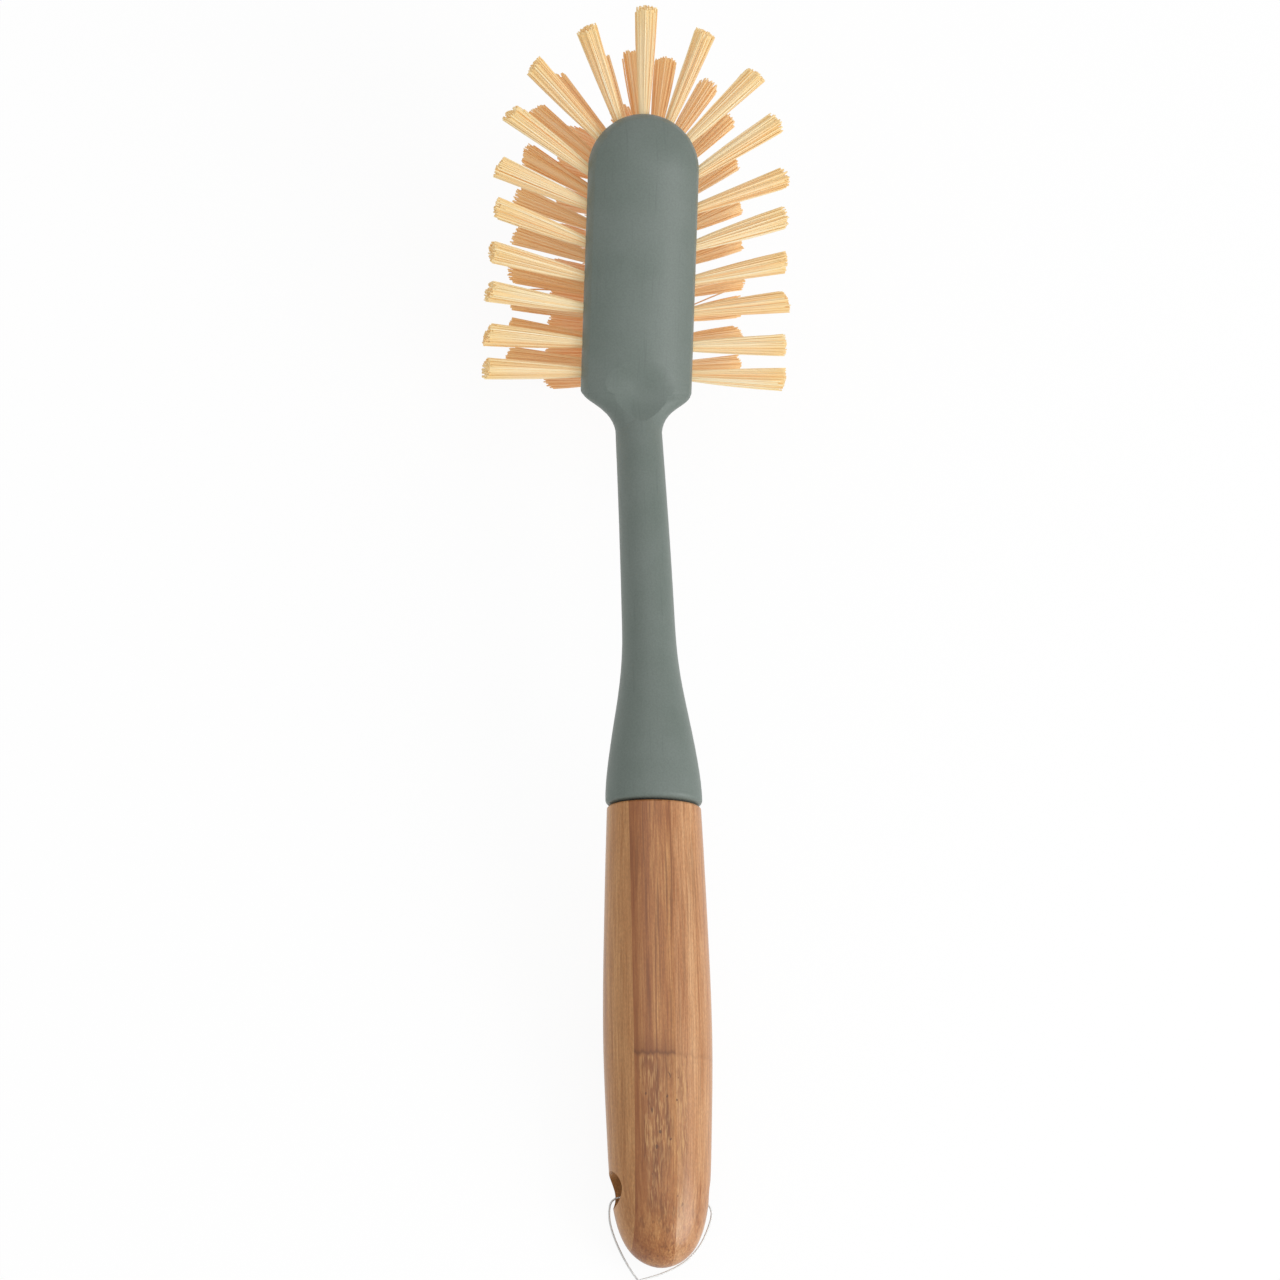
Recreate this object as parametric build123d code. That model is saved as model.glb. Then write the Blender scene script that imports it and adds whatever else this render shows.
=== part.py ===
from build123d import *
import os
from math import cos, degrees, hypot, pi, radians, sin, sqrt, tan

# Dish brush: a plastic head and neck in one moulding, an oval bamboo handle of three glued strips,
# tufts of fibre on metal anchors in drilled holes, and a loop of thin clear line.
# Millimetres. +Y runs from the handle's end to the head, +Z is up, and the brush lies as on a
# table, on the tips of its rearmost bottom tufts and on the handle's end.

# Handle
handle_length = 104.5
handle_width = 24.4
handle_thickness = 17.6
handle_front_width = 21.1
handle_front_chamfer = 0.4
left_glue_line = 6.9
right_glue_line = 2.2
hang_hole_radius = 4.2
hang_hole_from_end = 17.2
hang_hole_slope = 5.0
# from the end to the front: share of the half width, share of the length
handle_outline_shares = [
    (0.513, 0.0263),
    (0.744, 0.0702),
    (0.878, 0.136),
    (0.955, 0.268),
    (1.0, 0.48),
    (0.958, 0.72),
]

# Tang in its blind bore
tang_radius = 4.5
tang_length = 32.0
tang_clearance = 0.1
tang_barb_height = 0.07
tang_barb_width = 1.2
tang_barb_count = 4
bore_end_clearance = 1.0
seam_gap = 0.4

# Neck: a bent stem from the flare at the handle to the head
flare_width = 21.7
flare_depth = 15.8
flare_end_round = 1.2
stem_front_width = 13.2
stem_front_depth = 11.9
stem_root_width = 10.1
stem_root_depth = 9.2
neck_reach = 96.0
neck_drop = 11.7
neck_front_dip = 1.0
neck_root_dip = 12.4
stem_inside_head = 5.0
# at equal steps along the neck: how much of the flare is left beyond the tapering stem
flare_shares = [0.99, 0.90, 0.635, 0.326, 0.086, 0, 0, 0, 0, 0, 0, 0, 0]

# Head: u is across, v is along from the neck's root to the tip, w is out of the back
head_tilt = 14.0
head_length = 63.2
head_width = 25.0
crown_height = 6.8
crown_edge_height = 2.9
crown_edge_inset = 1.0
underside_depth = 8.0
rear_round = 1.6
neck_root_height = 0.7
# the soft hollow of the back where it meets the neck, which rises over the neck within its ramp
hollow_half_width = 10.6
hollow_length = 9.6
hollow_depth = 2.3
hollow_rim_lift = 0.1
hollow_ramp = 5.0
hollow_tool_height = 14.0

# Shoulder: the web that widens the neck's root to the head
shoulder_length = 9.6
shoulder_root_depth = 9.0
shoulder_head_depth = 11.4
shoulder_inside_head = 3.0
# from the neck to the head: share of the shoulder's length, share of the widening
shoulder_section_shares = [
    (0.0, 0.0),
    (0.24, 0.025),
    (0.47, 0.13),
    (0.70, 0.39),
    (0.885, 0.73),
    (1.06, 0.96),
]

# Tufts: each is a plug of folded fibre in its hole, with strands that fan out to the trimmed tips
tuft_hole_radius = 1.2
tuft_hole_depth = 3.4
tuft_clearance = 0.04
strand_root_width = 0.6
strand_tip_width = 1.05
strand_root_ring = 0.8
strand_tip_ring = 1.95
strand_count = 5
strand_ragged = 0.45
strand_overlap = 0.6
anchor_thickness = 0.4
anchor_height = 1.5
anchor_floor = 0.5
hole_mouth_overrun = 6.0
tip_flat = 0.5

# Rows of tufts, from the edge to the bottom. Per row: where its roots lie down the section and how
# far its tufts point down, in degrees, and how far they reach past the surface.
row_root_angles = [10, 40, 65, 78]
row_drop_angles = [2, 34, 70, 84]
row_reaches = [22.3, 20.3, 23.6, 25.0]
front_middle_extra_reach = 2.2
# Places along the straight side as shares of it, and how far each tuft there leans to the tip.
row_place_shares = [
    [0.105, 0.233, 0.387, 0.523, 0.675, 0.838, 0.992],
    [0.142, 0.253, 0.361, 0.464, 0.600, 0.742, 0.884],
    [0.083, 0.197, 0.300, 0.405, 0.525, 0.665, 0.810, 0.951],
    [0.140, 0.253, 0.359, 0.473, 0.602, 0.742, 0.884],
]
row_leans = [
    [0, 3, 8, 13, 19, 21, 34],
    [3, 6, 10, 13, 19, 23, 32],
    [0, 0, 4, 8, 12, 18, 24, 32],
    [0, 0, 6, 12, 18, 26, 34],
]
# Places round the tip as angles from the side, with the leans there.
row_tip_angles = [[35, 62, 90], [10, 42, 68, 90], [30, 90], []]
row_tip_leans = [[45, 69, 90], [41, 52, 76, 90], [38, 90], []]
row_names = ["edge", "second", "third", "bottom"]

# Hang loop: one clear line in two stretches, which meet in the hang hole and end in a knot. Each
# route lies as the brush lies: out of a mouth of the hole, down to the table and round the end.
line_diameter = 0.45
line_bend_share = 0.45
line_route_left = [
    (0, -124.1, 4.8),
    (-5.0, -124.1, 4.8),
    (-10.4, -124.4, 5.0),
    (-11.1, -128.3, 4.2),
    (-10.0, -131.4, 1.9),
    (-7.9, -136.0, 0.5),
    (-5.0, -141.4, 0.3),
    (-0.9, -146.4, 0.3),
    (1.6, -153.0, 0.3),
    (0.4, -159.8, 0.3),
    (-4.0, -164.6, 0.4),
    (-6.1, -169.2, 0.8),
    (-6.1, -173.6, 0.8),
]
line_route_right = [
    (0, -124.1, 4.8),
    (5.2, -124.1, 4.8),
    (10.8, -124.4, 4.8),
    (12.6, -126.6, 4.2),
    (11.9, -129.7, 2.2),
    (10.1, -133.7, 0.6),
    (6.4, -137.7, 0.4),
    (1.3, -140.4, 0.4),
    (-2.7, -142.0, 1.2),
    (-7.1, -143.4, 1.2),
    (-11.6, -144.8, 0.4),
    (-14.6, -148.8, 0.3),
    (-16.0, -155.4, 0.3),
    (-13.6, -161.6, 0.3),
    (-9.0, -165.6, 0.4),
    (-6.9, -169.2, 0.8),
    (-6.9, -173.6, 0.8),
]
knot_length = 3.4
knot_width = 2.4
knot_height = 1.7
knot_face_from_middle = 1.1
knot_tail_length = 3.0
knot_tail_spread = 22.0

# Helpers of the drawing: how far cuts run past, and how finely the resting pose is found
overrun = 1.0
pitch_steps = 50
outline_steps = 60
hollow_steps = 12
hollow_reach_share = 1.25


def handle_side():
    """Half of the handle's outline seen from above, from its end to the front chamfer."""
    half = handle_width / 2
    front = handle_front_width / 2
    chamfer_start = (front, handle_length - handle_front_chamfer)
    middle = [(half * across, handle_length * along) for across, along in handle_outline_shares]
    to_front = (front - half, handle_length / 3)
    return Spline((0, 0), *middle, chamfer_start, tangents=[(1, 0), to_front], tangent_scalars=[1, 1])


def handle_solid():
    """The whole handle, turned round and flattened to its oval."""
    front = handle_front_width / 2
    side = handle_side()
    edges = [
        side,
        Line(side @ 1, (front - handle_front_chamfer, handle_length)),
        Line((front - handle_front_chamfer, handle_length), (0, handle_length)),
        Line((0, handle_length), (0, 0)),
    ]
    turned = revolve(make_face(edges), Axis.Y)
    return scale(turned, by=(1, 1, handle_thickness / handle_width))


def handle_strips():
    """The handle cut at its two glue lines, with the tang's bore and the hang hole."""
    whole = handle_solid()
    bore_depth = tang_length + bore_end_clearance - seam_gap
    bore = cylinder_along_y(tang_radius + tang_clearance, handle_length - bore_depth, handle_length + overrun)
    whole = whole - bore - hang_hole_tool()
    outside = handle_width
    bounds = {
        "handle_strip_left": (-outside, -left_glue_line),
        "handle_strip_centre": (-left_glue_line, right_glue_line),
        "handle_strip_right": (right_glue_line, outside),
    }
    strips = {}
    for name, (low, high) in bounds.items():
        slab = Box(high - low, 2 * handle_length, outside)
        strips[name] = whole & Location(((low + high) / 2, handle_length / 2, 0)) * slab
    return strips


def hang_hole_tool():
    """The drill of the hang hole, which enters the left side at mid height and slopes down."""
    outline = [handle_side() @ (step / outline_steps) for step in range(outline_steps + 1)]
    mouth = min(outline, key=lambda point: abs(point.Y - hang_hole_from_end))
    drop = mouth.X * tan(radians(hang_hole_slope))
    drill = Cylinder(hang_hole_radius, 2 * handle_width)
    return Location((0, hang_hole_from_end, -drop), (0, 90 + hang_hole_slope, 0)) * drill


def cylinder_along_y(radius, start, end):
    """A cylinder round the Y axis."""
    return Location((0, (start + end) / 2, 0), (90, 0, 0)) * Cylinder(radius, end - start)


def neck_path():
    """The neck's centre line, from its end face at the handle to its root at the head."""
    start = Vector(0, handle_length + seam_gap, 0)
    end = start + Vector(0, neck_reach, -neck_drop)
    pull = neck_reach / 3
    out = Vector(0, cos(radians(neck_front_dip)), -sin(radians(neck_front_dip)))
    back = Vector(0, cos(radians(neck_root_dip)), -sin(radians(neck_root_dip)))
    return Bezier(start, start + out * pull, end - back * pull, end)


def oval_at(point, direction, width, depth):
    """An oval section across a direction in the YZ plane."""
    return Plane(origin=point, x_dir=(1, 0, 0), z_dir=direction) * Ellipse(width / 2, depth / 2)


def neck_solid(path):
    """The flare and the stem, run on into the head."""
    sections = []
    for index, flare in enumerate(flare_shares):
        place = index / (len(flare_shares) - 1)
        width = stem_front_width + (stem_root_width - stem_front_width) * place
        depth = stem_front_depth + (stem_root_depth - stem_front_depth) * place
        width += (flare_width - stem_front_width) * flare
        depth += (flare_depth - stem_front_depth) * flare
        sections.append(oval_at(path @ place, path % place, width, depth))
    neck = loft(sections)
    end_face = neck.faces().sort_by(Axis.Y)[0]
    neck = fillet(end_face.edges(), flare_end_round)
    root = extrude(sections[-1], stem_inside_head, dir=path % 1)
    return neck + root


def tang_solid():
    """The tang with its barbs, from inside the flare to near the bore's floor."""
    front = handle_length + seam_gap
    tang = cylinder_along_y(tang_radius, front - tang_length, front + overrun)
    pitch = tang_length / (tang_barb_count + 1)
    for index in range(tang_barb_count):
        middle = front - pitch * (index + 1)
        low, high = middle - tang_barb_width / 2, middle + tang_barb_width / 2
        tang += cylinder_along_y(tang_radius + tang_barb_height, low, high)
    return tang


def head_plane(path):
    """The head's own frame, with u, v and w as its X, Y and Z."""
    out_of_back = Vector(0, -sin(radians(head_tilt)), cos(radians(head_tilt)))
    origin = (path @ 1) - out_of_back * neck_root_height
    return Plane(origin=origin, x_dir=(1, 0, 0), z_dir=out_of_back)


def tip_centre():
    """How far along the head its rounded tip has its centre."""
    return head_length - head_width / 2


def head_block():
    """The head's block: one section drawn along the straight part and turned round the tip."""
    half = head_width / 2
    edge = (half - crown_edge_inset, crown_edge_height)
    crown_half = ThreePointArc(
        (-edge[0], edge[1]), (0, crown_height), edge
    ).trim(0.5, 1)
    side = TangentArc((half, 0), edge, tangent=(0, 1))
    underside = EllipticalCenterArc((0, 0), half, underside_depth, start_angle=270, arc_size=90)
    middle = Line((0, -underside_depth), (0, crown_height))
    half_section = make_face([crown_half, side, underside, middle])
    section = half_section + mirror(half_section, Plane.YZ)
    straight = extrude(Plane.XZ * section, -tip_centre())
    rear = straight.faces().sort_by(Axis.Y)[0]
    straight = fillet(rear.edges(), rear_round)
    rounded = revolve(Plane.XZ * half_section, Axis.Z, 180)
    return straight + Location((0, tip_centre(), 0)) * rounded


def shoulder_solid():
    """The web between the neck's root and the head, in the head's frame."""
    slope = tan(radians(neck_root_dip + head_tilt))
    sections = []
    for along, widening in shoulder_section_shares:
        v = shoulder_length * (along - 1)
        width = stem_root_width + (head_width - stem_root_width) * widening
        depth = shoulder_root_depth + (shoulder_head_depth - shoulder_root_depth) * along
        height = max(neck_root_height - v * slope, 0)
        sections.append(oval_at((0, v, height), (0, 1, 0), width, depth))
    web = loft(sections)
    inside = extrude(sections[-1], shoulder_inside_head, dir=(0, 1, 0))
    return web + inside


def hollow_height(u, v):
    """The height of the hollow's floor: the crown less a soft dip, with a rise over the neck."""
    edge = head_width / 2 - crown_edge_inset
    fall = crown_height - crown_edge_height
    crown_radius = (edge**2 + fall**2) / (2 * fall)
    crown = crown_height - crown_radius + sqrt(crown_radius**2 - u**2)
    out = min(hypot(u / hollow_half_width, v / hollow_length), 1)
    dip = hollow_depth * (1 - out * out * (3 - 2 * out))
    slope = tan(radians(neck_root_dip + head_tilt))
    rise = -slope * v
    if v > -hollow_ramp:
        rise = slope * max(hollow_ramp - v, 0) ** 2 / (4 * hollow_ramp)
    return crown + hollow_rim_lift - dip + rise


def hollow_tool():
    """What is taken off above the hollow's floor."""
    shares = [step / hollow_steps for step in range(-hollow_steps, hollow_steps + 1)]
    rows = []
    for along in shares:
        v = hollow_reach_share * hollow_length * along
        row = [hollow_reach_share * hollow_half_width * across for across in shares]
        rows.append([Vector(u, v, hollow_height(u, v)) for u in row])
    floor = Face.make_surface_from_array_of_points(rows)
    return extrude(floor, hollow_tool_height, dir=(0, 0, 1))


def root_point(row, side, place):
    """A tuft's root on the surface, in the head's frame; place is (v, None) or (None, angle)."""
    angle = radians(row_root_angles[row])
    out = head_width / 2 * cos(angle)
    height = -underside_depth * sin(angle)
    v, turn = place
    if turn is None:
        return Vector(side * out, v, height)
    turn = radians(turn)
    return Vector(side * out * cos(turn), tip_centre() + out * sin(turn), height)


def tuft_list():
    """Every tuft as (reach, group, root, direction, slant of its trimmed tip), in the head's frame."""
    tufts = []
    for row, name in enumerate(row_names):
        straight = [(share * tip_centre(), None) for share in row_place_shares[row]]
        rounded = [(None, angle) for angle in row_tip_angles[row]]
        places = [("side", place, lean) for place, lean in zip(straight, row_leans[row])]
        places += [("front", place, lean) for place, lean in zip(rounded, row_tip_leans[row])]
        drop = radians(row_drop_angles[row])
        for side, side_name in [(-1, "left"), (1, "right")]:
            for number, (part, place, lean) in enumerate(places):
                on_middle = place[1] == 90
                if on_middle and side == 1:
                    continue
                turn = radians(lean)
                direction = Vector(
                    0 if on_middle else side * cos(drop) * cos(turn),
                    cos(drop) * sin(turn),
                    -sin(drop),
                )
                group = f"{name}_front" if part == "front" else f"{name}_{side_name}"
                slant = 1 if (number + row) % 2 else -1
                reach = row_reaches[row]
                if on_middle and row == 0:
                    reach += front_middle_extra_reach
                tufts.append((reach, group, root_point(row, side, place), direction, slant))
    return tufts


def tuft_frame(head, root, direction):
    """A tuft's own frame: its origin on the surface, Z along the tuft and X towards the back."""
    origin = head.from_local_coords(root)
    along = (head.from_local_coords(root + direction) - origin).normalized()
    towards_back = head.z_dir - along * head.z_dir.dot(along)
    return Plane(origin=origin, x_dir=towards_back, z_dir=along)


def strand(turn, ring_root, ring_tip, length):
    """One four-sided strand, from inside the plug to its tip."""
    spots = [(ring_root, -strand_overlap, strand_root_width), (ring_tip, length, strand_tip_width)]
    faces = []
    for ring, height, width in spots:
        spot = Location((ring * cos(turn), ring * sin(turn), height), (0, 0, degrees(turn)))
        faces.append(spot * Rectangle(width, width))
    return loft(faces, ruled=True)


def tuft_solid(reach, slant):
    """A plug with its strands, in the tuft's frame, with a slot for the anchor."""
    plug_radius = tuft_hole_radius - tuft_clearance
    plug = Location((0, 0, -tuft_hole_depth / 2)) * Cylinder(plug_radius, tuft_hole_depth)
    plug = plug - anchor_blank()
    strands = [strand(0, 0, 0, reach)]
    for index in range(strand_count):
        turn = 2 * pi * index / strand_count
        trimmed = reach - strand_ragged * (1 + slant * cos(turn))
        strands.append(strand(turn, strand_root_ring, strand_tip_ring, trimmed))
    return plug.fuse(*strands)


def anchor_blank():
    """The anchor as a plain plate, wider than its hole."""
    middle = -tuft_hole_depth + anchor_floor + anchor_height / 2
    return Location((0, 0, middle)) * Box(4 * tuft_hole_radius, anchor_thickness, anchor_height)


def anchor_solid():
    """The anchor, cut to the wall of its hole."""
    return anchor_blank() & Cylinder(tuft_hole_radius, 4 * tuft_hole_depth)


def hole_tool():
    """The drill: from the hole's floor to outside the head."""
    height = tuft_hole_depth + hole_mouth_overrun
    return Location((0, 0, height / 2 - tuft_hole_depth)) * Cylinder(tuft_hole_radius, height)


def lowest(points, pitch):
    """The lowest of the points after the brush is pitched up."""
    return min(p.Y * sin(pitch) + p.Z * cos(pitch) for p in points)


def rest_place(handle_points, tip_points):
    """Where the brush lies: pitched so that the handle's end and the lowest tips, which are then
    cut flat, touch one table, with the origin under the middle of the whole."""
    low, high = 0, pi / 4
    for _ in range(pitch_steps):
        pitch = (low + high) / 2
        if lowest(tip_points, pitch) + tip_flat < lowest(handle_points, pitch):
            low = pitch
        else:
            high = pitch
    turn = Location((0, 0, 0), (degrees(pitch), 0, 0))
    ends = [(turn * Location(p)).position.Y for p in handle_points + tip_points]
    return Location((0, -(min(ends) + max(ends)) / 2, -lowest(handle_points, pitch))) * turn


def handle_outline_points():
    """Points on the handle's outline seen from the side, above and below."""
    side = handle_side()
    flatten = handle_thickness / handle_width
    outline = [side @ (index / outline_steps) for index in range(outline_steps + 1)]
    return [Vector(0, p.Y, sign * p.X * flatten) for p in outline for sign in (-1, 1)]


def line_tube(route):
    """A stretch of the line: straight runs joined by tangent arcs."""
    corners = [Vector(*point) for point in route]
    bends = []
    for before, corner, after in zip(corners, corners[1:], corners[2:]):
        run_in, run_out = corner - before, after - corner
        half_turn = radians(run_in.get_angle(run_out)) / 2
        bends.append(line_bend_share * min(run_in.length, run_out.length) / tan(half_turn))
    path = FilletPolyline(*corners, radius=bends)
    start = Plane(origin=corners[0], z_dir=corners[1] - corners[0])
    tube = sweep(start * Circle(line_diameter / 2), path)
    section_times_length = pi * line_diameter**2 / 4 * path.length
    print("line", round(path.length, 1), "long, radii", [round(bend, 1) for bend in bends])
    print("volume over section times length", round(tube.volume / section_times_length, 4))
    return tube


def loop_knot():
    """The knot that closes the loop: flat where the two stretches meet it, with two short tails."""
    left, right = Vector(*line_route_left[-1]), Vector(*line_route_right[-1])
    entry = (left + right) / 2
    middle = Vector(entry.X, entry.Y - knot_face_from_middle, knot_height / 2)
    shape = (1, knot_length / knot_width, knot_height / knot_width)
    knot = Location(middle) * scale(Sphere(knot_width / 2), by=shape)
    behind = Box(2 * knot_width, knot_length, 2 * knot_height)
    knot -= Location((entry.X, entry.Y + knot_length / 2, middle.Z)) * behind
    for side in (-1, 1):
        tail_length = knot_length / 2 + knot_tail_length
        tail = Cylinder(line_diameter / 2, tail_length)
        tail = Location((0, -tail_length / 2, 0), (90, 0, 0)) * tail
        knot += Location(middle, (0, 0, side * knot_tail_spread)) * tail
    return knot


def cut_at_table(solid):
    """The solid with what lies under the table's surface cut off."""
    box = solid.bounding_box()
    if box.min.Z >= 0:
        return solid
    size = box.size + Vector(overrun, overrun, overrun) * 2
    middle = box.center()
    under = Location((middle.X, middle.Y, -size.Z / 2)) * Box(size.X, size.Y, size.Z)
    return solid - under


def brush_parts():
    """Every part of the brush in the handle's frame, as lists of solids by name."""
    path = neck_path()
    head = head_plane(path)
    tufts = tuft_list()
    frames = [tuft_frame(head, root, direction) for _, _, root, direction, _ in tufts]

    block = head.location * (head_block() + shoulder_solid())
    moulding = block + neck_solid(path) - head.location * hollow_tool() + tang_solid()
    drill = hole_tool()
    parts = {"head_and_neck": [moulding.cut(*[frame.location * drill for frame in frames])]}
    parts.update({name: [strip] for name, strip in handle_strips().items()})

    anchor = anchor_solid()
    kinds = {}
    for frame, (reach, group, _, _, slant) in zip(frames, tufts):
        if (reach, slant) not in kinds:
            kinds[reach, slant] = tuft_solid(reach, slant)
        parts.setdefault(f"tufts_{group}", []).append(frame.location * kinds[reach, slant])
        parts.setdefault(f"anchors_{group}", []).append(frame.location * anchor)
    print(len(tufts), "tufts,", len(tufts) * (strand_count + 1), "strands")
    return parts


def main():
    os.makedirs("parts", exist_ok=True)
    parts = brush_parts()
    tuft_names = [name for name in parts if name.startswith("tufts_")]
    tip_points = [v.center() for name in tuft_names for tuft in parts[name] for v in tuft.vertices()]
    rest = rest_place(handle_outline_points(), tip_points)
    print("the brush lies at", rest)

    for name, solids in parts.items():
        placed = [rest * solid for solid in solids]
        if name in tuft_names:
            placed = [cut_at_table(solid) for solid in placed]
        whole = Compound(children=[solid for part in placed for solid in part.solids()])
        print(name, len(whole.solids()), round(whole.volume, 1))
        export_step(whole, f"parts/{name}.step")
    export_step(line_tube(line_route_left), "parts/hang_loop_left.step")
    export_step(line_tube(line_route_right), "parts/hang_loop_right.step")
    export_step(loop_knot(), "parts/loop_knot.step")


main()
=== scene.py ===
import math
import random

import bpy
import numpy as np
from mathutils import Matrix, Vector


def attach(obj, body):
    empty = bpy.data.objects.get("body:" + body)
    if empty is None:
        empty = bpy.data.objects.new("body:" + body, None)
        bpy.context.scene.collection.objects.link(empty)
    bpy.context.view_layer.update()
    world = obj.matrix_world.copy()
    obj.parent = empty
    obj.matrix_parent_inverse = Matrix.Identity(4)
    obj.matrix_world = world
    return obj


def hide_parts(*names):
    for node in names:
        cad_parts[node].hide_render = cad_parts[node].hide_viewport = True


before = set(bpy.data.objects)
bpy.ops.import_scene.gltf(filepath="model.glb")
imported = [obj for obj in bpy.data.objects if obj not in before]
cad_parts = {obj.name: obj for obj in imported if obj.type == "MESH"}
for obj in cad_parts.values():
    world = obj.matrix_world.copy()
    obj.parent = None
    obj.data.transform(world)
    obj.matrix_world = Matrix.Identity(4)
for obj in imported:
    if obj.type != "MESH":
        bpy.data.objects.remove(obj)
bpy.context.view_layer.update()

MM = 0.001

# How the brush lies: its handle rises towards the head, and the head rises further
HANDLE_RISE = math.radians(9.81)
HEAD_TILT = math.radians(14.0)
HEAD_RISE = HANDLE_RISE + HEAD_TILT
HANDLE_END = Vector((0, -140.987, 5.338)) * MM

# Camera: square to the head's back, then turned towards the brush's left side
FRAME_PIXELS = 1280
PIXEL = 0.2224 * MM
TIP_PIXEL = (643.5, 170.0)
SIDE_TURN = math.radians(11.5)
ROLL = math.radians(1.92)
CAMERA_FAR = 8.0
HEAD_TIP_FROM_END = Vector((0, 250.263, -0.114)) * MM
SENSOR = 36.0

# Points of a CAD mesh nearer than this are one point
SAME_PLACE = 1e-7

# Bristles: each tuft is a fluted core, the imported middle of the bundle, with fibres around it
RANDOM_SEED = 7
TUFT_DEPTH = 3.4 * MM
TUFT_END_SHARE = 0.8
FIBRES = 104
FIBRE_ROOT = 0.13 * MM
FIBRE_TIP = 0.18 * MM
BUNDLE_ROOT = 1.08 * MM
BUNDLE_TIP = 2.45 * MM
FIBRE_STEPS = 4
FIBRE_RAGGED = 1.0 * MM
SLANT_SHARE = 0.6
TRIM_SPREAD = 0.5
TURN_JITTER = 0.25
SPREAD_SHARES = (0.93, 1.05)
BEND_OUT = (-0.05 * MM, 0.25 * MM)
BEND_SIDE = 0.1 * MM
STRAY_TUFTS = 0.22
STRAY_SPREAD = (1.0 * MM, 3.5 * MM)
STRAY_BEND = 1.0 * MM
STRAY_TRIM = (-0.6, 3.0)
TONE_MIDDLE = 0.55
TONE_SPREAD = 0.22
TUFT_TONE_SPREAD = 0.08
CORE_SHARE = 0.86
CORE_OVERLAP_SHARE = 0.1
CORE_TONE_MIDDLE = 0.5
CORE_TONE_SPREAD = 0.2
CORE_SHORT = 1.3 * MM
CORE_FLUTES = 26
CORE_FLUTE_DEPTH = 0.09 * MM
CORE_TIP_SHARE = 0.92
CORE_FIBRE_START_SHARE = 0.97
CORE_PLACE_SHARES = (-0.06, 0.3, 0.65, 1.0)
START_SPREAD_SHARE = 0.9
FIBRE_START_DEPTH = 0.4 * TUFT_DEPTH
FIBRE_TURN = 9.0
FIBRE_GLOW = 0.075
FIBRE_LIGHT_THROUGH = 0.2
# Painted shade: the deeper rows of tufts get an orange tint, the colour bristles take in the shade
# of the rows above. This is each row's share of it
ROW_PAINTED_SHADE = {"edge": 0.05, "second": 0.35, "third": 0.55, "bottom": 0.4}

# Bamboo: how far the stalk's node lies from the handle's end, in millimetres
NODE_FROM_END = 46.6

# Relief of the surfaces
PLASTIC_GRAIN_DEPTH = 0.04 * MM
WOOD_GRAIN_DEPTH = 0.06 * MM
FIBRE_GRAIN_DEPTH = 0.03 * MM

# Floor and light. Each lamp has a name, a place, a width in metres and a power in watts
FLOOR_SIZE = 30.0
FLOOR_WHITE_SHARE = 0.93
WORLD_STRENGTH = 0.62
LAMPS = (
    ("lamp_right", (0.8, -0.45, 0.6), 0.7, 6.0),
    ("lamp_above", (0.0, 0.1, 1.2), 1.0, 2.0),
)

# Clear line, the same points as the brush's own line, in metres
LINE_DIAMETER = 0.45 * MM
LINE_STEPS = 8
LINE_ROUND_STEPS = 3
LINE_LEFT = [
    (0, -0.1241, 0.0048),
    (-0.0050, -0.1241, 0.0048),
    (-0.0104, -0.1244, 0.0050),
    (-0.0111, -0.1283, 0.0042),
    (-0.0100, -0.1314, 0.0019),
    (-0.0079, -0.1360, 0.0005),
    (-0.0050, -0.1414, 0.0003),
    (-0.0009, -0.1464, 0.0003),
    (0.0016, -0.1530, 0.0003),
    (0.0004, -0.1598, 0.0003),
    (-0.0040, -0.1646, 0.0004),
    (-0.0061, -0.1692, 0.0008),
    (-0.0061, -0.1736, 0.0008),
]
LINE_RIGHT = [
    (0, -0.1241, 0.0048),
    (0.0052, -0.1241, 0.0048),
    (0.0108, -0.1244, 0.0048),
    (0.0126, -0.1266, 0.0042),
    (0.0119, -0.1297, 0.0022),
    (0.0101, -0.1337, 0.0006),
    (0.0064, -0.1377, 0.0004),
    (0.0013, -0.1404, 0.0004),
    (-0.0027, -0.1420, 0.0012),
    (-0.0071, -0.1434, 0.0012),
    (-0.0116, -0.1448, 0.0004),
    (-0.0146, -0.1488, 0.0003),
    (-0.0160, -0.1554, 0.0003),
    (-0.0136, -0.1616, 0.0003),
    (-0.0090, -0.1656, 0.0004),
    (-0.0069, -0.1692, 0.0008),
    (-0.0069, -0.1736, 0.0008),
]

# The knot that closes the line's loop
KNOT_MIDDLE = Vector((-6.5, -174.7, 0.85)) * MM
KNOT_SCALE = (0.3 * MM, 0.55 * MM, 0.5 * MM)
KNOT_SHIFT_SHARE = 0.47
KNOT_LINE_RADIUS = 0.3 * MM
KNOT_TAIL_REACH = 4.7 * MM
KNOT_TAIL_SPREAD = math.radians(22)
KNOT_STEPS = 72
KNOT_SIDES = 10
KNOT_TAIL_SHARES = (0.1, 0.4, 0.7, 1.0)


def up_slope(rise):
    """The direction that climbs along +Y at a rise, and the one square to it that points up."""
    along = Vector((0, math.cos(rise), math.sin(rise)))
    out = Vector((0, -math.sin(rise), math.cos(rise)))
    return along, out


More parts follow.
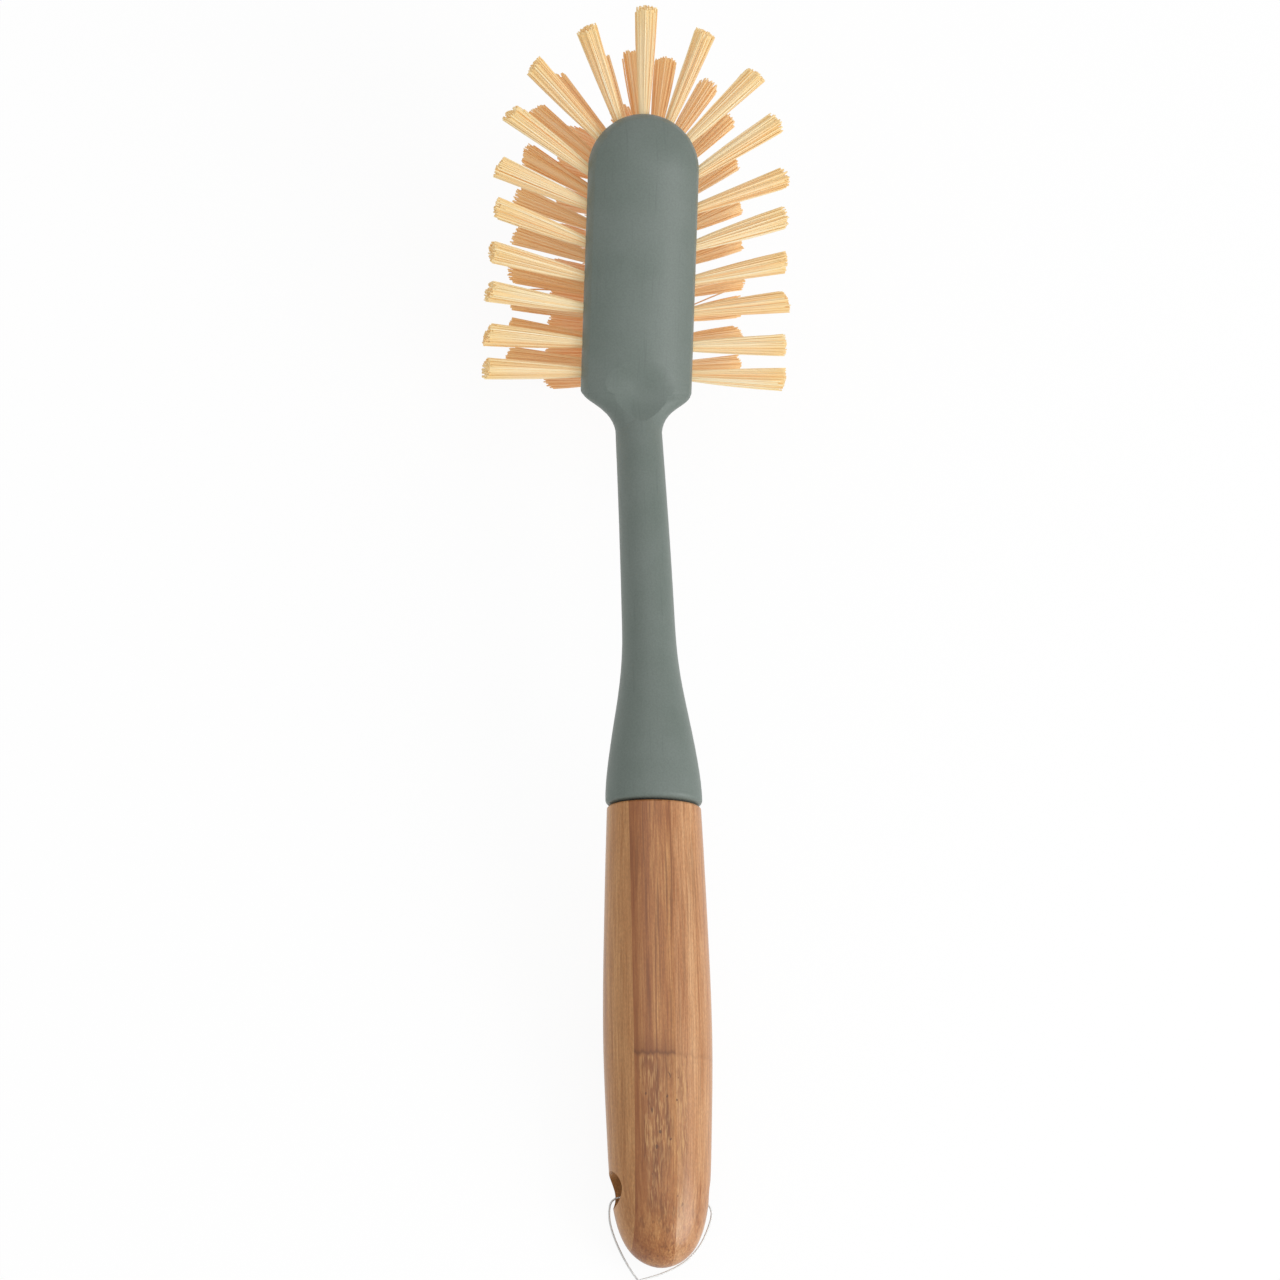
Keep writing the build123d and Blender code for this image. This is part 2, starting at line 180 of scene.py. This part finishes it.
def make_camera():
    """A far camera that sees the head's tip at its place in the frame."""
    along, out = up_slope(HEAD_RISE)
    handle_along, handle_out = up_slope(HANDLE_RISE)
    side = Vector((1, 0, 0))
    right = side * math.cos(SIDE_TURN) + out * math.sin(SIDE_TURN)
    back = out * math.cos(SIDE_TURN) - side * math.sin(SIDE_TURN)
    image_right = right * math.cos(ROLL) + along * math.sin(ROLL)
    image_up = along * math.cos(ROLL) - right * math.sin(ROLL)
    tip = HANDLE_END + handle_along * HEAD_TIP_FROM_END.y + handle_out * HEAD_TIP_FROM_END.z
    middle = FRAME_PIXELS / 2
    target = tip + image_right * (middle - TIP_PIXEL[0]) * PIXEL
    target -= image_up * (middle - TIP_PIXEL[1]) * PIXEL
    data = bpy.data.cameras.new("camera")
    data.sensor_width = SENSOR
    data.lens = SENSOR * CAMERA_FAR / (FRAME_PIXELS * PIXEL)
    data.clip_start = CAMERA_FAR / 10
    data.clip_end = CAMERA_FAR * 4
    camera = bpy.data.objects.new("camera", data)
    turn = Matrix((image_right, image_up, back)).transposed().to_4x4()
    camera.matrix_world = Matrix.Translation(target + back * CAMERA_FAR) @ turn
    bpy.context.scene.collection.objects.link(camera)
    bpy.context.scene.camera = camera


class Shader:
    """A node material in the making, with a Principled shader at its end."""

    def __init__(self, name):
        self.material = bpy.data.materials.new(name)
        self.material.use_nodes = True
        self.tree = self.material.node_tree
        self.tree.nodes.clear()
        self.surface = self.node("ShaderNodeBsdfPrincipled")
        self.output = self.node("ShaderNodeOutputMaterial")
        self.link(self.surface.outputs["BSDF"], self.output.inputs["Surface"])

    def node(self, kind, inputs=None, **settings):
        made = self.tree.nodes.new(kind)
        for name, value in settings.items():
            setattr(made, name, value)
        for name, value in (inputs or {}).items():
            if isinstance(value, bpy.types.NodeSocket):
                self.link(value, made.inputs[name])
            else:
                made.inputs[name].default_value = value
        return made

    def link(self, source, target):
        self.tree.links.new(source, target)

    def set(self, **values):
        for name, value in values.items():
            self.surface.inputs[name.replace("_", " ")].default_value = value

    def position(self, rise=0.0, origin=Vector()):
        """The place in millimetres, in the frame of a piece that starts at an origin and rises."""
        coordinates = self.node("ShaderNodeTexCoord")
        back = Matrix.Rotation(-rise, 3, "X")
        inputs = {
            "Vector": coordinates.outputs["Object"],
            "Scale": (1 / MM, 1 / MM, 1 / MM),
            "Rotation": (-rise, 0, 0),
            "Location": back @ origin / -MM,
        }
        return self.node("ShaderNodeMapping", inputs).outputs["Vector"]

    def parts(self, vector):
        """The X, Y and Z of a vector."""
        return self.node("ShaderNodeSeparateXYZ", {"Vector": vector}).outputs

    def math(self, operation, first, second=0.0):
        return self.node("ShaderNodeMath", {0: first, 1: second}, operation=operation).outputs[0]

    def stretched(self, vector, scale):
        mapping = self.node("ShaderNodeMapping", {"Vector": vector, "Scale": scale})
        return mapping.outputs["Vector"]

    def noise(self, vector, scale, detail=3.0, roughness=0.5, distortion=0.0):
        made = self.node(
            "ShaderNodeTexNoise",
            {
                "Vector": vector,
                "Scale": scale,
                "Detail": detail,
                "Roughness": roughness,
                "Distortion": distortion,
            },
        )
        return made.outputs["Fac"]

    def streaks(self, vector, across, share, **settings):
        """Noise drawn out along Y, where it changes at a share of its speed across."""
        return self.noise(self.stretched(vector, (1, share, 1)), across, **settings)

    def ramp(self, fac, stops):
        made = self.node("ShaderNodeValToRGB", {"Fac": fac})
        elements = made.color_ramp.elements
        while len(elements) < len(stops):
            elements.new(0.5)
        for element, (place, colour) in zip(elements, stops):
            element.position = place
            element.color = (*colour, 1)
        return made.outputs["Color"]

    def mix(self, fac, first, second, blend="MIX"):
        made = self.node("ShaderNodeMix", data_type="RGBA", blend_type=blend)
        for index, value in ((0, fac), (6, first), (7, second)):
            if isinstance(value, bpy.types.NodeSocket):
                self.link(value, made.inputs[index])
            elif index == 0:
                made.inputs[0].default_value = value
            else:
                made.inputs[index].default_value = (*value, 1)
        return made.outputs[2]

    def range(self, value, from_low, from_high, to_low=0.0, to_high=1.0):
        made = self.node(
            "ShaderNodeMapRange",
            {
                "Value": value,
                "From Min": from_low,
                "From Max": from_high,
                "To Min": to_low,
                "To Max": to_high,
            },
        )
        return made.outputs["Result"]

    def times(self, *values):
        """The product of several values."""
        result = values[0]
        for value in values[1:]:
            result = self.math("MULTIPLY", result, value)
        return result

    def bump(self, height, strength, distance):
        made = self.node(
            "ShaderNodeBump", {"Height": height, "Strength": strength, "Distance": distance}
        )
        self.link(made.outputs["Normal"], self.surface.inputs["Normal"])


def srgb(red, green, blue):
    """A colour as written on a screen, from 0 to 255, in the renderer's units."""
    shares = [value / 255 for value in (red, green, blue)]
    return tuple(s / 12.92 if s <= 0.04045 else ((s + 0.055) / 1.055) ** 2.4 for s in shares)


def sage_plastic():
    """Satin grey green moulded plastic with a fine even grain and faint marks along the back."""
    shader = Shader("sage_plastic")
    place = shader.position()
    cloud = shader.noise(place, 0.09, detail=2)
    grain = shader.noise(place, 2.6, detail=2)
    colour = shader.ramp(cloud, [(0.3, srgb(105, 116, 109)), (0.7, srgb(112, 122, 116))])
    speckle = shader.range(grain, 0.35, 0.65, 0.94, 1.05)
    colour = shader.mix(1.0, colour, speckle, "MULTIPLY")
    marks = shader.noise(shader.stretched(place, (1, 0.03, 0.03)), 2.2, detail=3)
    faint = shader.range(marks, 0.6, 0.72, 0.0, 0.25)
    colour = shader.mix(faint, colour, srgb(83, 94, 89))
    shader.link(colour, shader.surface.inputs["Base Color"])
    shader.link(shader.range(cloud, 0.3, 0.7, 0.42, 0.5), shader.surface.inputs["Roughness"])
    shader.set(Specular_IOR_Level=0.5, Sheen_Weight=0.12, Sheen_Roughness=0.3)
    shader.bump(grain, 0.25, PLASTIC_GRAIN_DEPTH)
    return shader.material


def with_node_line(shader, wood, grown, y, dark, strength):
    """The dark line of the stalk's node, with a shade above it that fades."""
    wander = shader.range(shader.streaks(grown, 0.9, 0.0, detail=3), 0.3, 0.7, -0.5, 0.5)
    above = shader.math("SUBTRACT", shader.math("ADD", y, wander), NODE_FROM_END)
    line = shader.range(shader.math("ABSOLUTE", above), 0.0, 0.9, 0.6 * strength, 0.0)
    rising = shader.range(above, 0.0, 5.0, 0.6 * strength, 0.0)
    rising = shader.times(rising, shader.range(above, -0.4, 0.2, 0.0, 1.0))
    wood = shader.mix(rising, wood, tuple(c * 0.8 for c in dark))
    return shader.mix(line, wood, tuple(c * 0.5 for c in dark))


def with_flecks(shader, wood, grown, x, y, dark, centre, half_width):
    """Blots, pale flecks and dark pits below the node, in a band that narrows to the end."""
    below = shader.range(y, NODE_FROM_END - 1.0, NODE_FROM_END - 0.2, 1.0, 0.0)
    below = shader.times(below, shader.range(y, 4.0, 22.0, 0.25, 1.0))
    narrowing = shader.range(y, 0.0, NODE_FROM_END, 0.45, 1.0)
    off = shader.math("ABSOLUTE", shader.math("SUBTRACT", x, centre))
    spread = shader.math("DIVIDE", off, narrowing)
    inside = shader.range(spread, half_width * 0.7, half_width, 1.0, 0.0)
    blots = shader.streaks(grown, 0.5, 0.25, detail=3, distortion=0.6)
    blots = shader.range(blots, 0.4, 0.65, 0.05, 0.6)
    wood = shader.mix(shader.times(blots, below, inside), wood, tuple(c * 0.75 for c in dark))
    clusters = shader.range(shader.streaks(grown, 0.3, 0.4, detail=1), 0.35, 0.6, 0.25, 1.0)
    flecks = shader.streaks(grown, 3.2, 0.1, detail=2, distortion=0.3)
    flecks = shader.range(flecks, 0.48, 0.64, 0.0, 0.7)
    wood = shader.mix(shader.times(flecks, clusters, below, inside), wood, srgb(206, 158, 102))
    pits = shader.range(shader.streaks(grown, 1.2, 0.5, detail=0), 0.76, 0.8, 0.0, 0.8)
    return shader.mix(shader.times(pits, below, inside), wood, srgb(92, 56, 34))


def bamboo(name, seed, tones, lines=0.3, shaded_side=None, node_strength=0.0, flecked=None):
    """Lacquered bamboo: streaks along the handle, thin dark fibres, and the stalk's node across it.

    tones are its dark, middle and light colour. shaded_side is where a darker side band ends and
    starts, and flecked the middle and half width of the flecks below the node, in millimetres.
    """
    dark, middle, light = tones
    shader = Shader(name)
    place = shader.position(HANDLE_RISE, HANDLE_END)
    x, y, _ = shader.parts(place)
    shifted = shader.node("ShaderNodeVectorMath", {0: place, 1: (seed, seed, 0)}, operation="ADD")
    grown = shifted.outputs[0]

    fine = shader.streaks(grown, 2.7, 0.025, detail=4, roughness=0.6)
    broad = shader.streaks(grown, 0.42, 0.03, detail=2)
    sparkle = shader.streaks(grown, 3.6, 0.35, detail=2)
    tone = shader.mix(0.45, fine, broad)
    wood = shader.ramp(tone, [(0.34, dark), (0.5, middle), (0.66, light)])
    wood = shader.mix(1.0, wood, shader.range(sparkle, 0.3, 0.7, 0.88, 1.12), "MULTIPLY")
    fibres = shader.range(shader.streaks(grown, 1.5, 0.012, detail=2), 0.55, 0.64, 0.0, lines)
    wood = shader.mix(fibres, wood, tuple(c * 0.55 for c in dark))
    if shaded_side:
        band = shader.range(x, shaded_side[0], shaded_side[1], 0.55, 0.0)
        wood = shader.mix(band, wood, dark)
    if node_strength:
        wood = with_node_line(shader, wood, grown, y, dark, node_strength)
    if flecked:
        wood = with_flecks(shader, wood, grown, x, y, dark, *flecked)
    shader.link(wood, shader.surface.inputs["Base Color"])
    shader.link(shader.range(fine, 0.3, 0.7, 0.34, 0.48), shader.surface.inputs["Roughness"])
    shader.set(Specular_IOR_Level=0.45, Coat_Weight=0.35, Coat_Roughness=0.22)
    shader.bump(shader.mix(0.5, tone, sparkle), 0.35, WOOD_GRAIN_DEPTH)
    return shader.material


def plant_fibre():
    """Stiff straw coloured fibre, each strand with its own tone, and a painted orange shade on the
    deeper rows.

    It lets some light through, and its faint glow stands for light scattered inside a bundle.
    """
    shader = Shader("plant_fibre")
    tone = shader.node("ShaderNodeAttribute", attribute_name="tone")
    parts = shader.node("ShaderNodeSeparateColor", {"Color": tone.outputs["Color"]})
    colour = shader.ramp(
        parts.outputs["Red"],
        [(0.0, srgb(244, 202, 144)), (0.45, srgb(253, 234, 190)), (1.0, srgb(255, 250, 224))],
    )
    tips = shader.range(parts.outputs["Green"], 0.7, 1.0, 0.0, 0.35)
    colour = shader.mix(tips, colour, srgb(252, 228, 152))
    # Painted shade: the row's share, kept in the tone attribute's blue channel, mixes in the orange
    # of shaded bristles
    colour = shader.mix(parts.outputs["Blue"], colour, srgb(255, 196, 128))
    grain = shader.noise(shader.position(), 3.0, detail=2)
    colour = shader.mix(shader.range(grain, 0.3, 0.7, 0.0, 0.1), colour, srgb(240, 200, 146))
    shader.link(colour, shader.surface.inputs["Base Color"])
    shader.link(colour, shader.surface.inputs["Emission Color"])
    shader.set(Roughness=0.5, Specular_IOR_Level=0.3, Emission_Strength=FIBRE_GLOW)
    shader.bump(grain, 0.2, FIBRE_GRAIN_DEPTH)
    through = shader.node("ShaderNodeBsdfTranslucent", {"Color": colour})
    mixed = shader.node("ShaderNodeMixShader", {"Fac": FIBRE_LIGHT_THROUGH})
    shader.link(shader.surface.outputs["BSDF"], mixed.inputs[1])
    shader.link(through.outputs["BSDF"], mixed.inputs[2])
    shader.link(mixed.outputs["Shader"], shader.output.inputs["Surface"])
    return shader.material


def clear_line():
    """Pale, faintly cloudy nylon."""
    shader = Shader("clear_line")
    cloud = shader.noise(shader.position(), 0.7, detail=2)
    colour = shader.ramp(cloud, [(0.3, srgb(236, 239, 238)), (0.7, srgb(246, 248, 247))])
    shader.link(colour, shader.surface.inputs["Base Color"])
    shader.link(shader.range(cloud, 0.3, 0.7, 0.3, 0.4), shader.surface.inputs["Roughness"])
    shader.set(IOR=1.53, Transmission_Weight=0.1)
    return shader.material


def anchor_metal():
    """Drawn steel with fine marks."""
    shader = Shader("anchor_metal")
    marks = shader.noise(shader.stretched(shader.position(), (1, 1, 0.1)), 4.0, detail=3)
    colour = shader.ramp(marks, [(0.3, srgb(170, 170, 168)), (0.7, srgb(200, 200, 198))])
    shader.link(colour, shader.surface.inputs["Base Color"])
    shader.link(shader.range(marks, 0.3, 0.7, 0.3, 0.45), shader.surface.inputs["Roughness"])
    shader.set(Metallic=1.0)
    return shader.material


def dress(node, material):
    """Gives a CAD node's object its material."""
    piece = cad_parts[node]
    piece.data.materials.clear()
    piece.data.materials.append(material)


def islands(mesh):
    """The separate solids of a mesh, each as an array of its points in one place."""
    points = np.array([v.co for v in mesh.vertices])
    keys = {}
    places = (points / SAME_PLACE).round().astype(int).tolist()
    merged = [keys.setdefault(tuple(place), len(keys)) for place in places]
    parent = list(range(len(keys)))

    def root(index):
        while parent[index] != index:
            parent[index] = parent[parent[index]]
            index = parent[index]
        return index

    for polygon in mesh.polygons:
        first = root(merged[polygon.vertices[0]])
        for vertex in polygon.vertices[1:]:
            parent[root(merged[vertex])] = first
    groups = {}
    for vertex, key in enumerate(merged):
        groups.setdefault(root(key), {})[key] = points[vertex]
    return [np.array(list(group.values())) for group in groups.values()]


def tuft_axis(points):
    """The root on the head's surface, the direction and the reach of one CAD tuft."""
    middle = points.mean(0)
    _, _, axes = np.linalg.svd(points - middle)
    along = axes[0]
    places = (points - middle) @ along
    wide = np.linalg.norm(points - middle - np.outer(places, along), axis=1)
    front = wide[places > places.max() * TUFT_END_SHARE].mean()
    back = wide[places < places.min() * TUFT_END_SHARE].mean()
    if front < back:
        along, places = -along, -places
    root = middle + along * (places.min() + TUFT_DEPTH)
    return Vector(root), Vector(along), places.max() - places.min() - TUFT_DEPTH


def add_walls(mesh, pairs):
    """Faces between the rings of each pair, which have equally many points."""
    for low, high in pairs:
        for corner, _ in enumerate(low):
            onward = (corner + 1) % len(low)
            mesh["faces"].append((low[corner], low[onward], high[onward], high[corner]))


def add_ends(mesh, rings):
    """Flat faces on the last and the first ring."""
    mesh["faces"].append(tuple(rings[-1]))
    mesh["faces"].append(tuple(reversed(rings[0])))


def add_fibre(mesh, tones, start, bend, end, tone, painted_shade):
    """One four-sided fibre along a gentle curve, ending in a cut face."""
    along = (end - start).normalized()
    side = along.orthogonal().normalized()
    other = along.cross(side)
    rings = []
    for step in range(FIBRE_STEPS + 1):
        share = step / FIBRE_STEPS
        middle = start.lerp(end, share) + bend * 4 * share * (1 - share)
        width = FIBRE_ROOT + (FIBRE_TIP - FIBRE_ROOT) * share
        ring = []
        for corner in range(4):
            turn = math.pi / 2 * corner + tone * FIBRE_TURN
            point = middle + (side * math.cos(turn) + other * math.sin(turn)) * width
            ring.append(len(mesh["points"]))
            mesh["points"].append(point)
            tones.append((tone, share, painted_shade, 1))
        rings.append(ring)
    add_walls(mesh, zip(rings, rings[1:]))
    add_ends(mesh, rings)


def add_core(mesh, tones, root, along, length, painted_shade, rng):
    """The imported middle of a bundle: a fluted cone under the outer fibres."""
    side = along.orthogonal().normalized()
    other = along.cross(side)
    shades = [
        min(max(rng.gauss(CORE_TONE_MIDDLE, CORE_TONE_SPREAD), 0), 1) for _ in range(CORE_FLUTES)
    ]
    rings = []
    for share in CORE_PLACE_SHARES:
        widening = (BUNDLE_TIP - BUNDLE_ROOT) * max(share, 0) * CORE_TIP_SHARE
        radius = CORE_SHARE * (BUNDLE_ROOT + widening)
        ring = []
        for corner in range(2 * CORE_FLUTES):
            turn = math.pi * corner / CORE_FLUTES
            out = side * math.cos(turn) + other * math.sin(turn)
            ring.append(len(mesh["points"]))
            place = radius - CORE_FLUTE_DEPTH * (corner % 2)
            mesh["points"].append(root + along * (length * share) + out * place)
            tones.append((shades[corner // 2], max(share, 0), painted_shade, 1))
        rings.append(ring)
    add_walls(mesh, zip(rings, rings[1:]))
    add_ends(mesh, rings)


def add_tuft(mesh, tones, root, along, reach, painted_shade, rng):
    """A bundle of fibres that fans out from its hole, with a ragged, slanting trimmed end."""
    side = along.orthogonal().normalized()
    other = along.cross(side)
    golden = math.pi * (3 - math.sqrt(5))
    slant = rng.uniform(0, 2 * math.pi)
    shade = rng.gauss(0.0, TUFT_TONE_SPREAD)
    stray = rng.randrange(FIBRES // 2, FIBRES) if rng.random() < STRAY_TUFTS else None
    floor = LINE_DIAMETER / 2
    core = reach - CORE_SHORT
    if along.z < 0:
        clear = root.z - floor - BUNDLE_TIP * math.sqrt(max(1 - along.z**2, 0))
        core = min(core, clear / -along.z)
    add_core(mesh, tones, root, along, core, painted_shade, rng)
    for number in range(FIBRES):
        share = math.sqrt((number + 0.5) / FIBRES)
        turn = number * golden + rng.uniform(-TURN_JITTER, TURN_JITTER)
        out = side * math.cos(turn) + other * math.sin(turn)
        start = root - along * FIBRE_START_DEPTH + out * share * BUNDLE_ROOT * START_SPREAD_SHARE
        bend = out * rng.uniform(*BEND_OUT) + side * rng.uniform(-BEND_SIDE, BEND_SIDE)
        if share < CORE_SHARE - CORE_OVERLAP_SHARE:
            start = root + along * core * CORE_FIBRE_START_SHARE
            start += out * share * BUNDLE_TIP * START_SPREAD_SHARE
            bend = Vector()
        trimmed = abs(rng.gauss(0, TRIM_SPREAD)) + SLANT_SHARE * share * (1 + math.cos(turn - slant))
        spread = share * BUNDLE_TIP * rng.uniform(*SPREAD_SHARES)
        if number == stray:
            spread += rng.uniform(*STRAY_SPREAD)
            bend += out * rng.uniform(-STRAY_BEND, STRAY_BEND)
            trimmed = rng.uniform(*STRAY_TRIM)
        end = root + along * (reach - trimmed * FIBRE_RAGGED) + out * spread
        if end.z < floor:
            end = start.lerp(end, (start.z - floor) / (start.z - end.z))
        tone = min(max(rng.gauss(TONE_MIDDLE + shade, TONE_SPREAD), 0), 1)
        add_fibre(mesh, tones, start, bend, end, tone, painted_shade)


def make_tufts(material):
    """Every tuft node again as a mesh of separate fibres, on the axes of the CAD tufts."""
    rng = random.Random(RANDOM_SEED)
    for node in sorted(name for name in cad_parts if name.startswith("tufts_")):
        mesh, tones = {"points": [], "faces": []}, []
        # This row's share of painted orange shade
        painted_shade = next(value for row, value in ROW_PAINTED_SHADE.items() if row in node)
        for points in islands(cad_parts[node].data):
            add_tuft(mesh, tones, *tuft_axis(points), painted_shade, rng)
        data = bpy.data.meshes.new(node.replace("tufts", "fibres"))
        data.from_pydata([tuple(p) for p in mesh["points"]], [], mesh["faces"])
        layer = data.color_attributes.new("tone", "FLOAT_COLOR", "POINT")
        layer.data.foreach_set("color", np.array(tones, np.float32).ravel())
        data.materials.append(material)
        piece = bpy.data.objects.new(data.name, data)
        bpy.context.scene.collection.objects.link(piece)
        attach(piece, "root")
        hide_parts(node)


def add_tube(mesh, points, radius, closed):
    """A round tube through points, with flat ends unless it closes on itself."""
    count = len(points)
    normal = (points[1] - points[0]).orthogonal()
    rings = []
    for index, point in enumerate(points):
        ahead = points[(index + 1) % count] if closed else points[min(index + 1, count - 1)]
        behind = points[index - 1] if closed else points[max(index - 1, 0)]
        along = (ahead - behind).normalized()
        normal = (normal - along * normal.dot(along)).normalized()
        other = along.cross(normal)
        ring = []
        for corner in range(KNOT_SIDES):
            turn = 2 * math.pi * corner / KNOT_SIDES
            ring.append(len(mesh["points"]))
            out = normal * math.cos(turn) + other * math.sin(turn)
            mesh["points"].append(point + out * radius)
        rings.append(ring)
    pairs = list(zip(rings, rings[1:]))
    if closed:
        last = mesh["points"][rings[-1][0]]
        nearest = min(range(KNOT_SIDES), key=lambda c: (mesh["points"][rings[0][c]] - last).length)
        pairs.append((rings[-1], rings[0][nearest:] + rings[0][:nearest]))
    add_walls(mesh, pairs)
    if not closed:
        add_ends(mesh, rings)


def make_knot(material):
    """The knot of the loop: a line turned over and under itself, with its two short tails."""
    mesh = {"points": [], "faces": []}
    turns = [2 * math.pi * step / KNOT_STEPS for step in range(KNOT_STEPS)]
    width, length, height = KNOT_SCALE
    loop = [
        KNOT_MIDDLE + Vector((
            width * (math.sin(turn) + 2 * math.sin(2 * turn)),
            length * (math.cos(turn) - 2 * math.cos(2 * turn) + KNOT_SHIFT_SHARE),
            height * math.sin(3 * turn),
        ))
        for turn in turns
    ]
    add_tube(mesh, loop, KNOT_LINE_RADIUS, True)
    for side in (-1, 1):
        spread = Vector((side * math.sin(KNOT_TAIL_SPREAD), -math.cos(KNOT_TAIL_SPREAD), 0))
        tail = [KNOT_MIDDLE + spread * (KNOT_TAIL_REACH * share) for share in KNOT_TAIL_SHARES]
        add_tube(mesh, tail, LINE_DIAMETER / 2, False)
    data = bpy.data.meshes.new("knot")
    data.from_pydata([tuple(point) for point in mesh["points"]], [], mesh["faces"])
    data.polygons.foreach_set("use_smooth", [len(face) == 4 for face in mesh["faces"]])
    data.materials.append(material)
    piece = bpy.data.objects.new("knot", data)
    bpy.context.scene.collection.objects.link(piece)
    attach(piece, "root")
    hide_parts("loop_knot")
    return piece


def make_line(name, node, points, material):
    """One stretch of the clear line, as a smooth curve through its chosen points."""
    data = bpy.data.curves.new(name, "CURVE")
    data.dimensions = "3D"
    spline = data.splines.new("NURBS")
    spline.points.add(len(points) - 1)
    for point, place in zip(spline.points, points):
        point.co = (*place, 1)
    spline.order_u = 3
    spline.use_endpoint_u = True
    spline.resolution_u = LINE_STEPS
    data.bevel_depth = LINE_DIAMETER / 2
    data.bevel_resolution = LINE_ROUND_STEPS
    data.use_fill_caps = True
    data.materials.append(material)
    piece = bpy.data.objects.new(name, data)
    bpy.context.scene.collection.objects.link(piece)
    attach(piece, "root")
    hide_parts(node)


def make_floor():
    """A plain pale floor that looks white to the camera and keeps a soft shadow."""
    bpy.ops.mesh.primitive_plane_add(size=FLOOR_SIZE, location=(0, 0, 0))
    floor = bpy.context.object
    floor.name = "floor"
    shader = Shader("floor")
    cloud = shader.noise(shader.position(), 0.003, detail=2)
    shader.link(
        shader.ramp(cloud, [(0, (0.95, 0.95, 0.95)), (1, (0.97, 0.97, 0.97))]),
        shader.surface.inputs["Base Color"],
    )
    shader.set(Roughness=0.8, Specular_IOR_Level=0.1)
    path = shader.node("ShaderNodeLightPath")
    seen = shader.math("MAXIMUM", path.outputs["Is Camera Ray"], path.outputs["Is Glossy Ray"])
    seen = shader.math("MAXIMUM", seen, path.outputs["Is Transmission Ray"])
    share = shader.times(seen, FLOOR_WHITE_SHARE)
    white = shader.node("ShaderNodeEmission", {"Color": (1, 1, 1, 1), "Strength": 1.0})
    mixed = shader.node("ShaderNodeMixShader", {"Fac": share})
    shader.link(shader.surface.outputs["BSDF"], mixed.inputs[1])
    shader.link(white.outputs["Emission"], mixed.inputs[2])
    shader.link(mixed.outputs["Shader"], shader.output.inputs["Surface"])
    floor.data.materials.append(shader.material)


def make_light():
    """White surroundings, with a wide lamp from the right and a weaker one above."""
    world = bpy.data.worlds.new("surroundings")
    bpy.context.scene.world = world
    world.use_nodes = True
    tree = world.node_tree
    tree.nodes.clear()
    output = tree.nodes.new("ShaderNodeOutputWorld")
    path = tree.nodes.new("ShaderNodeLightPath")
    plain = tree.nodes.new("ShaderNodeBackground")
    plain.inputs["Strength"].default_value = WORLD_STRENGTH
    white = tree.nodes.new("ShaderNodeBackground")
    white.inputs["Color"].default_value = (1, 1, 1, 1)
    plain.inputs["Color"].default_value = (1, 1, 1, 1)
    mixed = tree.nodes.new("ShaderNodeMixShader")
    tree.links.new(path.outputs["Is Camera Ray"], mixed.inputs["Fac"])
    tree.links.new(plain.outputs["Background"], mixed.inputs[1])
    tree.links.new(white.outputs["Background"], mixed.inputs[2])
    tree.links.new(mixed.outputs["Shader"], output.inputs["Surface"])

    for name, place, size, power in LAMPS:
        data = bpy.data.lights.new(name, "AREA")
        data.shape = "SQUARE"
        data.size = size
        data.energy = power
        lamp = bpy.data.objects.new(name, data)
        lamp.location = place
        lamp.rotation_euler = (-Vector(place)).to_track_quat("-Z", "Y").to_euler()
        bpy.context.scene.collection.objects.link(lamp)


def main():
    make_camera()
    sage = sage_plastic()
    dress("head_and_neck", sage)
    left_tones = srgb(162, 108, 60), srgb(182, 130, 80), srgb(202, 152, 100)
    dress("handle_strip_left", bamboo("bamboo_light", 31, left_tones, 0.12))
    centre_tones = srgb(138, 80, 40), srgb(166, 108, 60), srgb(196, 142, 88)
    centre = bamboo("bamboo_dark", 7, centre_tones, 0.5, (-6.9, -2.0), 1.0, (-1.8, 4.8))
    dress("handle_strip_centre", centre)
    right_tones = srgb(162, 104, 60), srgb(188, 134, 88), srgb(210, 162, 116)
    right = bamboo("bamboo_mid", 53, right_tones, 0.35, None, 0.2, (3.2, 2.2))
    dress("handle_strip_right", right)
    metal = anchor_metal()
    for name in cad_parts:
        if name.startswith("anchors_"):
            dress(name, metal)
    make_tufts(plant_fibre())
    clear = clear_line()
    knot = make_knot(clear)
    make_line("line_left", "hang_loop_left", LINE_LEFT, clear)
    make_line("line_right", "hang_loop_right", LINE_RIGHT, clear)
    make_floor()
    make_light()
    bpy.context.scene.view_settings.view_transform = "Standard"


main()
